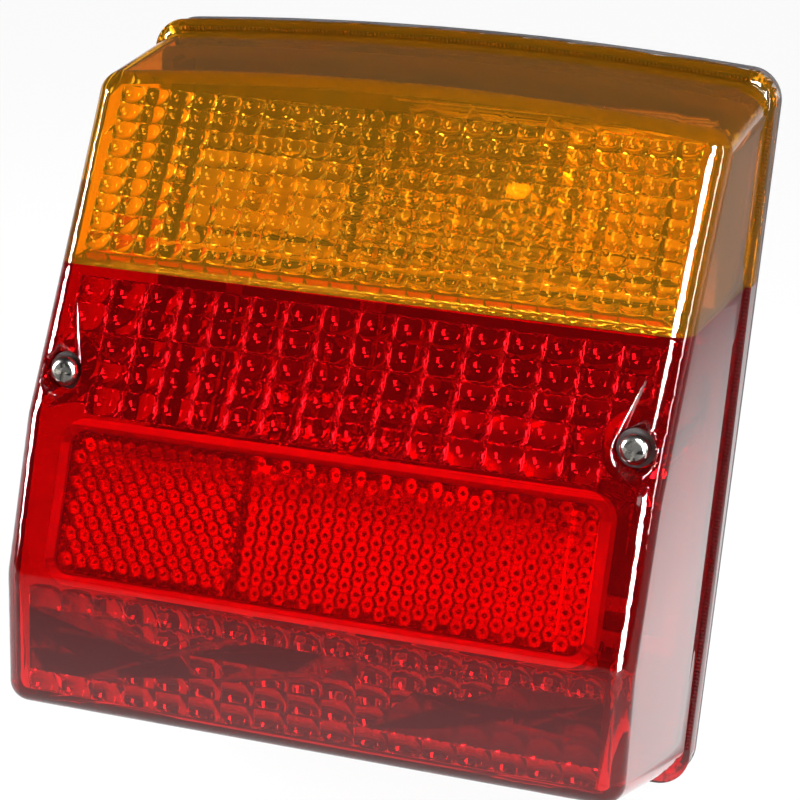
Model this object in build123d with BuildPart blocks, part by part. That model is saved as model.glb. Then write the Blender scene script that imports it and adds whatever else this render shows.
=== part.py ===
"""Trailer tail light: two-colour lens on a black base, with an indicator bulb and a stop and tail bulb.

Frame: +Z up, the lens faces -Y, and the mounting face is the plane Y = 0.
A depth is a distance forward of the mounting face, so it lies at Y = -depth. Millimetres.
"""

import math
import os

from build123d import *

os.makedirs("parts", exist_ok=True)

# Outline at the mounting face
rim_width = 98.0
rim_height = 111.0
rim_taper = 2.8
rim_corner = 5.0
least_corner = 0.8
top_bow = 2.2
# How far each drafted wall comes in on its way to the nose depth
nose_depth = 64.0
side_draft_top = 2.45
side_draft_bottom = 0.3
top_draft = 13.55
bottom_draft = 16.2
corner_draft = 1.2

# Side view of the lens face, from top to bottom: depth and height of each bend
face_top_depth = 32.0
face_top_drop = 7.5
knee_depth = 55.3
knee_z = 1.6
chin_depth = 60.6
chin_z = -21.0
face_bottom_depth = 58.5
face_bottom_rise = 15.5
face_bend_radius = 7.0
face_edge_round = 3.2
face_normal_limit = -0.6

# Base tray, gasket and lens shell
plate = 3.0
flange = 1.0
flange_gap = 0.2
gasket_thickness = 1.0
gasket_inset = 1.1
gasket_width = 1.8
lens_wall = 2.3
skirt_step = 0.7
skirt_height = 2.4
skirt_wall = 0.8
skirt_gap = 0.2
locating_top = 12.0
locating_wall = 1.8
locating_clearance = 0.4
seam_z_at_base = 24.2
seam_z_at_face = 21.7
seam_face_depth = 45.0

# Lens screws, their recesses and posts
screw_margin = 7.8
screw_z = 7.2
pocket_radius = 3.0
pocket_wall = 1.7
pocket_floor = 49.0
pocket_floor_wall = 2.0
tube_radius = 3.6
post_radius = 2.6
post_top = 27.5
post_gap = 0.5
post_hole_depth = 11.0
screw_shank_radius = 1.25
thread_clearance = 0.05
screw_clearance = 0.25
screw_engagement = 7.5
screw_head_radius = 2.1
screw_head_height = 2.2
cross_length = 2.7
cross_width = 0.7
cross_depth = 1.1
seal_clearance = 0.3
seal_thickness = 1.0
post_hole_radius = screw_shank_radius + thread_clearance
screw_clear_radius = screw_shank_radius + screw_clearance
seal_radius = pocket_radius - seal_clearance
seal_hole_radius = screw_shank_radius + thread_clearance

# Reflex reflector and its backing
reflex_side_margin = 11.0
reflex_height = 20.0
reflex_corner = 2.0
reflex_thickness = 2.4
reflex_gap = 0.3
backing_thickness = 1.2
backing_lip = 1.4

# Bulbs with a 15 mm bayonet cap. Heights run along the bulb from its foot.
bulb_length = 52.5
globe_radius = 12.5
glass_wall = 0.8
neck_radius = 6.4
neck_foot = 4.0
neck_top = 20.0
cap_radius = 7.5
cap_wall = 0.4
cap_foot = 0.8
cap_length = 17.0
insulator_height = 3.0
contact_height = 0.6
stem_radius = 2.6
stem_bore = 0.8
stem_top = 24.0
wire_radius = 0.35
wire_spread = 2.0
filament_radius = 0.5
filament_height = 31.8
tail_filament_height = 28.0
filament_span = 7.0
wire_straight = 1.2
wire_splay_top = 3.4
wire_bend = 0.8
pin_radius = 1.0
pin_reach = 8.6
pin_height = 6.9
pin_offset = 3.0
indicator_foot_x = -25.5
indicator_depth = 19.0
indicator_z = 31.2
stop_foot_x = 25.5
stop_depth = 28.0
stop_z = -3.0

# Bayonet holders, contact carriers and springs
push_travel = 2.0
unlock_angle = 20.0
holder_clearance = 0.15
holder_bore_radius = cap_radius + holder_clearance
holder_wall = 0.8
holder_mouth = 13.5
holder_back = -6.5
holder_leg_width = 14.0
holder_foot_length = 12.0
slot_clearance = 0.3
carrier_clearance = 0.1
carrier_radius = cap_radius - carrier_clearance
carrier_thickness = 2.2
button_radius = 1.5
button_head_radius = 1.9
button_head = 0.8
twin_offset = 3.2
spring_gap = 6.3
single_spring_radius = 4.0
twin_spring_radius = 2.4
spring_wire_radius = 0.35
spring_turns = 3.5

# Contact strips, terminals and rivets
strip_thickness = 0.8
strip_width = 2.8
tongue_width = 4.4
lane_clearance = 0.2
inner_lane_x = 34.4
earth_lane_x = -11.0
earth_lane_width = 4.0
link_width = 2.5
tail_link_width = 2.4
tail_link_clearance = 1.2
terminal_xs = (-27.0, -9.0, 9.0, 27.0)
terminal_margin = 3.9
terminal_pad = 8.0
terminal_block_height = 5.5
terminal_block_half = 33.0
terminal_screw_radius = 1.5
terminal_screw_length = 5.3
terminal_head_radius = 3.0
terminal_head_height = 2.0
terminal_slot_width = 0.8
terminal_slot_depth = 1.0
rivet_radius = 1.2
rivet_head_radius = 2.2
rivet_head = 0.7
rivet_depth = 1.8
rivet_spacing = 9.0

# Divider between the chambers, and the reflector behind the indicator bulb
divider_thickness = 1.2
divider_base_z = 14.7
divider_front_z = 20.2
divider_front_depth = 41.2
divider_side_gap = 0.2
rib_height = 4.0
rib_thickness = 1.2
rib_gap = 0.15
notch_clearance = 0.8
notch_height = 6.0
reflector_thickness = 0.5
reflector_left_x = -7.0
reflector_side_gap = 0.4
reflector_low_z = 19.7
reflector_top_gap = 2.1
reflector_wing_depth = 13.0
reflector_wing_lean = 1.0
reflector_bend = 3.0

# Mounting studs and cable grommet
stud_spacing = 45.0
stud_z = -20.0
stud_radius = 2.5
stud_shoulder_radius = 2.8
stud_clearance = 0.1
stud_reach = 19.0
stud_head_flats = 8.0
stud_head_height = 3.5
stud_pocket_clearance = 0.2
stud_pad = 12.0
stud_pad_height = 2.4
retainer_radius = 5.6
retainer_thickness = 1.0
retainer_clearance = 0.2
grommet_z = -20.0
grommet_radius = 6.0
grommet_flange_radius = 7.4
grommet_flange = 1.2
grommet_bore_radius = 3.5

# Sizes that follow from the ones above
rim_half_top = rim_width / 2
rim_half_bottom = rim_half_top - rim_taper
rim_top = rim_height / 2
rim_bottom = -rim_height / 2
face_top_z = rim_top - face_top_drop
face_bottom_z = rim_bottom + face_bottom_rise
screw_x = rim_half_top - screw_margin
reflex_width = rim_width - 2 * reflex_side_margin
reflex_z = (knee_z + chin_z) / 2
lens_back = plate + gasket_thickness
skirt_back = flange + flange_gap
plate_step = skirt_wall + skirt_gap
strip_top = plate + strip_thickness
far = 2 * rim_height
# Room inside the locating wall, at its front edge
locating_inset = skirt_step + lens_wall + locating_clearance
inner_inset = locating_inset + locating_wall
locating_share = locating_top / nose_depth
inner_half_width = rim_half_bottom - side_draft_bottom * locating_share - inner_inset
inner_top = rim_top - top_draft * locating_share - inner_inset
inner_bottom = rim_bottom + bottom_draft * locating_share + inner_inset
terminal_z = inner_bottom + terminal_margin + terminal_pad / 2
outer_lane_x = inner_half_width - lane_clearance - strip_width / 2
divider_half_width = inner_half_width - divider_side_gap
reflector_right_x = inner_half_width - reflector_side_gap
reflector_high_z = inner_top - reflector_top_gap


def keep(piece, name):
    """Label a finished piece and write its STEP file."""
    piece.label = name
    export_step(piece, f"parts/{name}.step")


def outline(depth, inset):
    """Rounded outline of the lamp at a depth, drawn in by an inset."""
    share = depth / nose_depth
    half_top = rim_half_top - side_draft_top * share - inset
    half_bottom = rim_half_bottom - side_draft_bottom * share - inset
    top = rim_top - top_draft * share - inset
    bottom = rim_bottom + bottom_draft * share + inset
    corner = max(rim_corner - corner_draft * share - inset, least_corner)
    with BuildSketch(Plane.XZ.offset(depth)) as face:
        with BuildLine():
            Polyline((half_top, top), (half_bottom, bottom), (-half_bottom, bottom), (-half_top, top))
            ThreePointArc((-half_top, top), (0, top + top_bow), (half_top, top))
        make_face()
        fillet(face.vertices(), corner)
    return face.sketch


def side_profile(inset):
    """Side view of all that lies behind the lens face, drawn in by an inset."""
    upper_slope = (knee_depth - face_top_depth) / (face_top_z - knee_z)
    lower_slope = (chin_depth - face_bottom_depth) / (chin_z - face_bottom_z)
    above = -face_top_depth + upper_slope * (far - face_top_z)
    below = -chin_depth + lower_slope * (chin_z + far)
    with BuildSketch(Plane.YZ.offset(-far)) as side:
        with BuildLine():
            Polyline(
                (far, far),
                (above, far),
                (-knee_depth, knee_z),
                (-chin_depth, chin_z),
                (below, -far),
                (far, -far),
                close=True,
            )
        make_face()
        bends = side.vertices().sort_by(Axis.Y)[2:4]
        fillet(bends, face_bend_radius)
        if inset:
            offset(amount=-inset)
    return side.sketch


def lens_form(side_inset, face_inset, back):
    """Solid with the lens's drafted walls and bent face."""
    with BuildPart() as form:
        add(outline(back, side_inset))
        add(outline(nose_depth, side_inset))
        loft(ruled=True)
        extrude(side_profile(face_inset), amount=2 * far, mode=Mode.INTERSECT)
    return form.part


def slab(x_range, z_range, depth_range):
    """Box between two values of X, of Z and of depth, added to the part in hand."""
    with Locations(
        (
            sum(x_range) / 2,
            -sum(depth_range) / 2,
            sum(z_range) / 2,
        )
    ):
        return Box(
            x_range[1] - x_range[0],
            depth_range[1] - depth_range[0],
            z_range[1] - z_range[0],
        )


# Lens -------------------------------------------------------------------------

with BuildPart() as lens_outer:
    add(lens_form(skirt_step, 0, lens_back))
    front_faces = lens_outer.faces().filter_by(lambda face: face.normal_at().Y < face_normal_limit)
    wall_edges = lens_outer.faces().filter_by(lambda face: face.normal_at().Y > face_normal_limit).edges()
    fillet([edge for edge in front_faces.edges() if edge in wall_edges], face_edge_round)

lens_inner = lens_form(skirt_step + lens_wall, lens_wall, lens_back - gasket_thickness)

with BuildPart() as screw_cups:
    with BuildSketch(Plane.XZ.offset(pocket_floor - pocket_floor_wall)):
        with Locations((-screw_x, screw_z), (screw_x, screw_z)):
            Circle(pocket_radius + pocket_wall)
    extrude(amount=nose_depth - pocket_floor)
    with BuildSketch(Plane.XZ.offset(post_top + post_gap)):
        with Locations((-screw_x, screw_z), (screw_x, screw_z)):
            Circle(tube_radius)
    extrude(amount=pocket_floor - post_top - post_gap)
    add(lens_outer.part, mode=Mode.INTERSECT)

with BuildPart() as lens_cover:
    add(lens_outer.part)
    extrude(outline(skirt_back, 0), amount=lens_back + skirt_height - skirt_back)
    extrude(outline(skirt_back, skirt_wall), amount=lens_back - skirt_back, mode=Mode.SUBTRACT)
    add(lens_inner, mode=Mode.SUBTRACT)
    add(screw_cups.part)
    with BuildSketch(Plane.XZ.offset(pocket_floor)):
        with Locations((-screw_x, screw_z), (screw_x, screw_z)):
            Circle(pocket_radius)
    extrude(amount=nose_depth, mode=Mode.SUBTRACT)
    with BuildSketch(Plane.XZ):
        with Locations((-screw_x, screw_z), (screw_x, screw_z)):
            Circle(screw_clear_radius)
    extrude(amount=nose_depth, mode=Mode.SUBTRACT)

seam_tilt = math.atan2(seam_z_at_base - seam_z_at_face, seam_face_depth)
seam = Plane(
    origin=(0, 0, seam_z_at_base),
    x_dir=(1, 0, 0),
    z_dir=(0, -math.sin(seam_tilt), math.cos(seam_tilt)),
)

with BuildPart() as lens_amber:
    add(lens_cover.part)
    split(bisect_by=seam, keep=Keep.TOP)
keep(lens_amber.part, "lens_amber")

with BuildPart() as lens_red:
    add(lens_cover.part)
    split(bisect_by=seam, keep=Keep.BOTTOM)
keep(lens_red.part, "lens_red")

# Reflex reflector ---------------------------------------------------------------

facet_lean = math.atan2(chin_depth - knee_depth, knee_z - chin_z)
facet_depth = knee_depth + (knee_z - reflex_z) * math.tan(facet_lean)
facet = Plane(
    origin=(0, -facet_depth, reflex_z),
    x_dir=(1, 0, 0),
    z_dir=(0, -math.cos(facet_lean), math.sin(facet_lean)),
)

with BuildPart() as reflex_reflector:
    with BuildSketch(facet.offset(-lens_wall)):
        RectangleRounded(reflex_width, reflex_height, reflex_corner)
    extrude(amount=-reflex_thickness)
keep(reflex_reflector.part, "reflex_reflector")

with BuildPart() as reflex_backing:
    with BuildSketch(facet.offset(-lens_wall)):
        RectangleRounded(
            reflex_width + 2 * (reflex_gap + backing_lip),
            reflex_height + 2 * (reflex_gap + backing_lip),
            reflex_corner + reflex_gap + backing_lip,
        )
    extrude(amount=-reflex_thickness - reflex_gap - backing_thickness)
    with BuildSketch(facet.offset(-lens_wall)):
        RectangleRounded(
            reflex_width + 2 * reflex_gap,
            reflex_height + 2 * reflex_gap,
            reflex_corner + reflex_gap,
        )
    extrude(amount=-reflex_thickness - reflex_gap, mode=Mode.SUBTRACT)
    add(lens_inner, mode=Mode.INTERSECT)
    add(screw_cups.part, mode=Mode.SUBTRACT)
keep(reflex_backing.part, "reflex_backing")

# Lens screws and their seals -----------------------------------------------------

seal_top = pocket_floor + seal_thickness
for side, x in (("left", -screw_x), ("right", screw_x)):
    with BuildPart() as screw_seal:
        with BuildSketch(Plane.XZ.offset(pocket_floor)):
            with Locations((x, screw_z)):
                Circle(seal_radius)
                Circle(seal_hole_radius, mode=Mode.SUBTRACT)
        extrude(amount=seal_thickness)
    keep(screw_seal.part, f"screw_seal_{side}")

    with BuildPart() as lens_screw:
        with BuildSketch(Plane.XZ.offset(seal_top)):
            with Locations((x, screw_z)):
                Circle(screw_head_radius)
        extrude(amount=screw_head_height)
        head_rim = lens_screw.faces().sort_by(Axis.Y)[0].edges()
        fillet(head_rim, screw_head_height / 2)
        with BuildSketch(Plane.XZ.offset(seal_top)):
            with Locations((x, screw_z)):
                Circle(screw_shank_radius)
        extrude(amount=-(seal_top - post_top + screw_engagement))
        tip_rim = lens_screw.faces().sort_by(Axis.Y)[-1].edges()
        chamfer(tip_rim, screw_shank_radius / 2)
        with BuildSketch(Plane.XZ.offset(seal_top + screw_head_height)):
            with Locations((x, screw_z)):
                Rectangle(cross_length, cross_width)
                Rectangle(cross_width, cross_length)
        extrude(amount=-cross_depth, mode=Mode.SUBTRACT)
    keep(lens_screw.part, f"lens_screw_{side}")

# Base tray ---------------------------------------------------------------------

stud_places = [(-stud_spacing / 2, stud_z), (stud_spacing / 2, stud_z)]
block_top = plate + terminal_block_height
block_z = (terminal_z - terminal_pad / 2, terminal_z + terminal_pad / 2 - strip_thickness)
earth_lane = (earth_lane_x - earth_lane_width / 2, earth_lane_x + earth_lane_width / 2)
notches = [
    (earth_lane_x, earth_lane_width + 2 * notch_clearance),
    (-inner_lane_x, strip_width + 2 * notch_clearance),
]
stamping_feet = {
    "indicator": (indicator_foot_x, 1, indicator_z),
    "stop": (stop_foot_x, -1, stop_z),
}
leg_out = holder_back + strip_thickness


def rivet_places(foot_x, way, axis_z):
    """Centres of the two rivets through one holder's foot."""
    x = foot_x + way * (leg_out + holder_foot_length / 2)
    return [(x, axis_z - rivet_spacing / 2), (x, axis_z + rivet_spacing / 2)]


all_rivets = [place for foot in stamping_feet.values() for place in rivet_places(*foot)]

with BuildPart() as base_housing:
    extrude(outline(0, 0), amount=flange)
    extrude(outline(skirt_back, plate_step), amount=plate - skirt_back)
    extrude(outline(skirt_back, plate_step), amount=-skirt_back)
    extrude(outline(locating_top, locating_inset), amount=plate - locating_top)
    extrude(outline(locating_top, inner_inset), amount=plate - locating_top, mode=Mode.SUBTRACT)
    with BuildSketch(Plane.XZ.offset(plate)):
        with Locations((-screw_x, screw_z), (screw_x, screw_z)):
            Circle(post_radius)
    extrude(amount=post_top - plate)
    with BuildSketch(Plane.XZ.offset(post_top)):
        with Locations((-screw_x, screw_z), (screw_x, screw_z)):
            Circle(post_hole_radius)
    extrude(amount=-post_hole_depth, mode=Mode.SUBTRACT)
    slab((-terminal_block_half, terminal_block_half), block_z, (plate, block_top))
    with BuildSketch(Plane.XZ.offset(block_top)):
        with Locations(*[(x, terminal_z) for x in terminal_xs]):
            Circle(terminal_screw_radius)
    extrude(amount=-terminal_screw_length + strip_thickness, mode=Mode.SUBTRACT)
    for rib_z in (
        divider_base_z - rib_gap - rib_thickness,
        divider_base_z + divider_thickness + rib_gap,
    ):
        rib_width = (-divider_half_width, divider_half_width)
        slab(rib_width, (rib_z, rib_z + rib_thickness), (plate, plate + rib_height))
    for notch_x, notch_width in notches:
        with BuildSketch(Plane.XZ.offset(plate)):
            with Locations((notch_x, divider_base_z + divider_thickness / 2)):
                Rectangle(notch_width, notch_height)
        extrude(amount=rib_height, mode=Mode.SUBTRACT)
    with BuildSketch(Plane.XZ.offset(plate)):
        with Locations(*stud_places):
            Rectangle(stud_pad, stud_pad)
            head_room = stud_head_flats / 2 + stud_pocket_clearance
            RegularPolygon(head_room, 6, major_radius=False, mode=Mode.SUBTRACT)
    extrude(amount=stud_pad_height)
    with BuildSketch(Plane.XZ):
        with Locations(*stud_places):
            Circle(stud_shoulder_radius + stud_clearance)
        with Locations((0, grommet_z)):
            Circle(grommet_radius)
    extrude(amount=plate, mode=Mode.SUBTRACT)
    with BuildSketch(Plane.XZ):
        with Locations(*stud_places):
            Circle(retainer_radius + retainer_clearance)
    extrude(amount=retainer_thickness, mode=Mode.SUBTRACT)
    with BuildSketch(Plane.XZ):
        with Locations((0, grommet_z)):
            Circle(grommet_flange_radius)
    extrude(amount=grommet_flange, mode=Mode.SUBTRACT)
    with BuildSketch(Plane.XZ.offset(plate)):
        with Locations(*all_rivets):
            Circle(rivet_radius)
    extrude(amount=-rivet_depth, mode=Mode.SUBTRACT)
keep(base_housing.part, "base_housing")

with BuildPart() as lens_gasket:
    extrude(outline(lens_back, gasket_inset), amount=-gasket_thickness)
    extrude(outline(lens_back, gasket_inset + gasket_width), amount=-gasket_thickness, mode=Mode.SUBTRACT)
keep(lens_gasket.part, "lens_gasket")

# Mounting studs, retaining washers and grommet -----------------------------------

for side, place in zip(("left", "right"), stud_places):
    with BuildPart() as mounting_stud:
        with BuildSketch(Plane.XZ.offset(plate)):
            with Locations(place):
                RegularPolygon(stud_head_flats / 2, 6, major_radius=False)
        extrude(amount=stud_head_height)
        with BuildSketch(Plane.XZ):
            with Locations(place):
                Circle(stud_shoulder_radius)
        extrude(amount=plate)
        with BuildSketch(Plane.XZ):
            with Locations(place):
                Circle(stud_radius)
        extrude(amount=-stud_reach)
        stud_tip = mounting_stud.faces().sort_by(Axis.Y)[-1].edges()
        chamfer(stud_tip, stud_radius / 4)
    keep(mounting_stud.part, f"mounting_stud_{side}")

    with BuildPart() as stud_retainer:
        with BuildSketch(Plane.XZ):
            with Locations(place):
                Circle(retainer_radius)
                Circle(stud_shoulder_radius, mode=Mode.SUBTRACT)
        extrude(amount=retainer_thickness)
    keep(stud_retainer.part, f"stud_retainer_{side}")

with BuildPart() as cable_grommet:
    with BuildSketch(Plane.XZ):
        with Locations((0, grommet_z)):
            Circle(grommet_flange_radius)
    extrude(amount=grommet_flange)
    with BuildSketch(Plane.XZ.offset(plate)):
        with Locations((0, grommet_z)):
            Circle(grommet_flange_radius)
    extrude(amount=grommet_flange)
    with BuildSketch(Plane.XZ):
        with Locations((0, grommet_z)):
            Circle(grommet_radius)
    extrude(amount=plate)
    with BuildSketch(Plane.XZ):
        with Locations((0, grommet_z)):
            Circle(grommet_bore_radius)
    extrude(amount=plate + grommet_flange, mode=Mode.SUBTRACT)
keep(cable_grommet.part, "cable_grommet")

# Divider and indicator reflector -------------------------------------------------

with BuildPart() as chamber_divider:
    with BuildSketch(Plane.YZ.offset(-divider_half_width)):
        with BuildLine():
            Polyline(
                (-plate, divider_base_z),
                (-plate - rib_height, divider_base_z),
                (-divider_front_depth, divider_front_z),
                (-divider_front_depth, divider_front_z + divider_thickness),
                (-plate - rib_height, divider_base_z + divider_thickness),
                (-plate, divider_base_z + divider_thickness),
                close=True,
            )
        make_face()
    extrude(amount=2 * divider_half_width)
    for notch_x, notch_width in notches:
        with BuildSketch(Plane.XZ):
            with Locations((notch_x, divider_base_z + divider_thickness / 2)):
                Rectangle(notch_width, notch_height)
        extrude(amount=strip_top + notch_clearance, mode=Mode.SUBTRACT)
keep(chamber_divider.part, "chamber_divider")

with BuildPart() as indicator_reflector:
    with BuildSketch(Plane.YZ.offset(reflector_left_x)):
        with BuildLine():
            spine = FilletPolyline(
                (-plate - reflector_thickness / 2, reflector_low_z),
                (-plate - reflector_thickness / 2, reflector_high_z),
                (-reflector_wing_depth, reflector_high_z + reflector_wing_lean),
                radius=reflector_bend,
            )
            offset(amount=reflector_thickness / 2, side=Side.BOTH)
        make_face()
    extrude(amount=reflector_right_x - reflector_left_x)
keep(indicator_reflector.part, "indicator_reflector")

# Bulbs ---------------------------------------------------------------------------


def seat_plane(foot_x, way, depth, z):
    """Plane across a bulb's foot. Its normal runs along the bulb, and its X is the row's Z."""
    return Plane(origin=(foot_x, -depth, z), x_dir=(0, 0, 1), z_dir=(way, 0, 0))


def turned(seat, angle):
    """The same plane turned about its own normal by an angle in degrees."""
    about = Axis((0, 0, 0), seat.z_dir)
    return Plane(origin=seat.origin, x_dir=seat.x_dir.rotate(about, angle), z_dir=seat.z_dir)


def half_plane(seat):
    """Plane that holds a bulb's axis: X is the radius, Y the height along the bulb."""
    return Plane(origin=seat.origin, x_dir=seat.x_dir, z_dir=-seat.y_dir)


def bulb_glass(seat):
    """Globe, neck and stem, with the stem's pump tube left open."""
    globe_height = bulb_length - globe_radius
    axis = Axis(seat.origin, seat.z_dir)
    with BuildPart() as glass:
        for wall in (0, glass_wall):
            with BuildSketch(half_plane(seat)):
                with Locations((0, globe_height)):
                    Circle(globe_radius - wall)
                with BuildLine():
                    Polyline(
                        (0, neck_foot + wall),
                        (neck_radius - wall, neck_foot + wall),
                        (neck_radius - wall, neck_top),
                        (globe_radius - wall, globe_height),
                        (0, globe_height),
                        close=True,
                    )
                make_face()
                with Locations((-globe_radius, bulb_length / 2)):
                    Rectangle(2 * globe_radius, 2 * bulb_length, mode=Mode.SUBTRACT)
            revolve(axis=axis, mode=Mode.SUBTRACT if wall else Mode.ADD)
        with BuildSketch(seat.offset(neck_foot)):
            Circle(stem_radius)
        extrude(amount=stem_top - neck_foot)
        with BuildSketch(seat.offset(neck_foot)):
            Circle(stem_bore)
        extrude(amount=stem_top - neck_foot, mode=Mode.SUBTRACT)
    return glass.part


def bulb_filament(seat, heights):
    """Supports and wound filaments, one frame for each filament height."""
    with BuildPart() as filament:
        for number, height in enumerate(heights):
            frame = turned(seat.offset(stem_top), 90 * (number + 1))
            half_span = filament_span / 2
            for way in (-1, 1):
                with BuildLine(half_plane(frame)) as wire:
                    FilletPolyline(
                        (way * wire_spread, 0),
                        (way * wire_spread, wire_straight),
                        (way * half_span, wire_splay_top),
                        (way * half_span, height - stem_top),
                        radius=wire_bend,
                    )
                with BuildSketch(Plane(origin=wire.line @ 0, z_dir=wire.line % 0)):
                    Circle(wire_radius)
                sweep(path=wire.line)
            across = Plane(origin=frame.origin, x_dir=frame.z_dir, z_dir=frame.x_dir)
            with BuildSketch(across.offset(-half_span - wire_radius)):
                with Locations((height - stem_top, 0)):
                    Circle(filament_radius)
            extrude(amount=filament_span + 2 * wire_radius)
    return filament.part


def bulb_cap(seat, pins):
    """Drawn cap with its two bayonet pins at the given heights."""
    with BuildPart() as cap:
        with BuildSketch(seat.offset(cap_foot)):
            Circle(cap_radius)
            Circle(cap_radius - cap_wall, mode=Mode.SUBTRACT)
        extrude(amount=cap_length - cap_foot)
        for way, height in zip((1, -1), pins):
            across = Plane(origin=seat.origin, x_dir=seat.z_dir, z_dir=seat.x_dir * way)
            with BuildSketch(across.offset(cap_radius - cap_wall)):
                with Locations((height, 0)):
                    Circle(pin_radius)
            extrude(amount=pin_reach - cap_radius + cap_wall)
    return cap.part


def bulb_insulator(seat):
    """Black insulator in the cap's foot."""
    with BuildPart() as foot:
        with BuildSketch(seat.offset(contact_height)):
            Circle(cap_radius - cap_wall)
        extrude(amount=insulator_height)
    return foot.part


def bulb_contacts(seat, offsets):
    """Solder contacts in a row across the bulb's foot, as separate solids."""
    with BuildPart() as contacts:
        with BuildSketch(seat):
            with Locations(*[(offset_x, 0) for offset_x in offsets]):
                Circle(button_radius)
        extrude(amount=contact_height)
    return contacts.part


# Holders, carriers and springs ----------------------------------------------------


def sector(angle_low, angle_high):
    """Corner points of a wedge about the axis, from one angle to another in degrees."""
    reach = 2 * holder_bore_radius
    angles = (angle_low, (angle_low + angle_high) / 2, angle_high)
    return [(0, 0)] + [
        (reach * math.cos(math.radians(angle)), reach * math.sin(math.radians(angle))) for angle in angles
    ]


def bulb_holder(seat, foot_x, way, depth, axis_z, pins):
    """Stamped holder: slotted tube, leg and riveted foot."""
    pin_half_angle = math.degrees((pin_radius + slot_clearance) / holder_bore_radius)
    outer = holder_bore_radius + holder_wall
    with BuildPart() as holder:
        with BuildSketch(seat.offset(holder_back)):
            Circle(outer)
        extrude(amount=holder_mouth - holder_back)
        leg_x = sorted((foot_x + way * holder_back, foot_x + way * leg_out))
        leg_z = (axis_z - holder_leg_width / 2, axis_z + holder_leg_width / 2)
        slab(leg_x, leg_z, (plate, depth))
        foot_ends = sorted((foot_x + way * holder_back, foot_x + way * (leg_out + holder_foot_length)))
        slab(foot_ends, leg_z, (plate, strip_top))
        with BuildSketch(seat.offset(holder_back)):
            Circle(holder_bore_radius)
        extrude(amount=holder_mouth - holder_back, mode=Mode.SUBTRACT)
        for half_turn, height in zip((0, 180), pins):
            low = height - pin_radius - slot_clearance - push_travel
            high = height + pin_radius + slot_clearance
            with BuildSketch(turned(seat.offset(low), half_turn)):
                Polygon(*sector(-pin_half_angle, unlock_angle + pin_half_angle), align=None)
            extrude(amount=high - low, mode=Mode.SUBTRACT)
            with BuildSketch(turned(seat.offset(low), half_turn)):
                Polygon(*sector(unlock_angle - pin_half_angle, unlock_angle + pin_half_angle), align=None)
            extrude(amount=holder_mouth - low, mode=Mode.SUBTRACT)
        with BuildSketch(Plane.XZ.offset(plate)):
            with Locations(*rivet_places(foot_x, way, axis_z)):
                Circle(rivet_radius)
        extrude(amount=strip_thickness, mode=Mode.SUBTRACT)
    return holder.part


def contact_carrier(seat, offsets):
    """Insulating disc with a hole for each contact button."""
    with BuildPart() as carrier:
        with BuildSketch(seat.offset(-carrier_thickness)):
            Circle(carrier_radius)
            with Locations(*[(offset_x, 0) for offset_x in offsets]):
                Circle(button_radius, mode=Mode.SUBTRACT)
        extrude(amount=carrier_thickness)
    return carrier.part


def contact_buttons(seat, offsets):
    """Brass buttons through the carrier, headed on the spring side, as separate solids."""
    with BuildPart() as buttons:
        with BuildSketch(seat.offset(-carrier_thickness)):
            with Locations(*[(offset_x, 0) for offset_x in offsets]):
                Circle(button_radius)
        extrude(amount=carrier_thickness)
        with BuildSketch(seat.offset(-carrier_thickness - button_head)):
            with Locations(*[(offset_x, 0) for offset_x in offsets]):
                Circle(button_head_radius)
        extrude(amount=button_head)
    return buttons.part


def contact_springs(seat, offsets, radius):
    """Open coil springs between the contact strips and the carrier, as separate solids."""
    height = spring_gap - 2 * spring_wire_radius
    with BuildPart() as springs:
        for offset_x in offsets:
            start = carrier_thickness + spring_wire_radius
            with BuildLine() as coil:
                Helix(
                    pitch=height / spring_turns,
                    height=height,
                    radius=radius,
                    center=seat.origin + seat.x_dir * offset_x - seat.z_dir * start,
                    direction=-seat.z_dir,
                )
            with BuildSketch(Plane(origin=coil.line @ 0, z_dir=coil.line % 0)):
                Circle(spring_wire_radius)
            sweep(path=coil.line, is_frenet=True)
    return springs.part


lamp_circuits = {
    "indicator": {
        "place": (indicator_foot_x, 1, indicator_depth, indicator_z),
        "pins": (pin_height, pin_height),
        "contacts": (0.0,),
        "filaments": (filament_height,),
        "spring_radius": single_spring_radius,
    },
    "stop": {
        "place": (stop_foot_x, -1, stop_depth, stop_z),
        "pins": (pin_height, pin_height + pin_offset),
        "contacts": (-twin_offset, twin_offset),
        "filaments": (filament_height, tail_filament_height),
        "spring_radius": twin_spring_radius,
    },
}

for circuit, lamp in lamp_circuits.items():
    foot_x, way, depth, axis_z = lamp["place"]
    seat = seat_plane(foot_x, way, depth, axis_z)
    keep(bulb_glass(seat), f"{circuit}_bulb_glass")
    keep(bulb_filament(seat, lamp["filaments"]), f"{circuit}_bulb_filament")
    keep(bulb_cap(seat, lamp["pins"]), f"{circuit}_bulb_cap")
    keep(bulb_insulator(seat), f"{circuit}_bulb_insulator")
    keep(bulb_contacts(seat, lamp["contacts"]), f"{circuit}_bulb_contacts")
    keep(bulb_holder(seat, foot_x, way, depth, axis_z, lamp["pins"]), f"{circuit}_holder")
    keep(contact_carrier(seat, lamp["contacts"]), f"{circuit}_contact_carrier")
    keep(contact_buttons(seat, lamp["contacts"]), f"{circuit}_contact_buttons")
    keep(
        contact_springs(seat, lamp["contacts"], lamp["spring_radius"]),
        f"{circuit}_contact_springs",
    )

# Contact strips and terminals ------------------------------------------------------

pad_high = terminal_z + terminal_pad / 2
pad_top = block_top + strip_thickness
tongue_back = carrier_thickness + spring_gap
stud_pad_low = stud_z - stud_pad / 2
tail_link_high = stud_pad_low - tail_link_clearance
link_z = (pad_high, pad_high + link_width)
tail_link_z = (tail_link_high - tail_link_width, tail_link_high)


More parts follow.
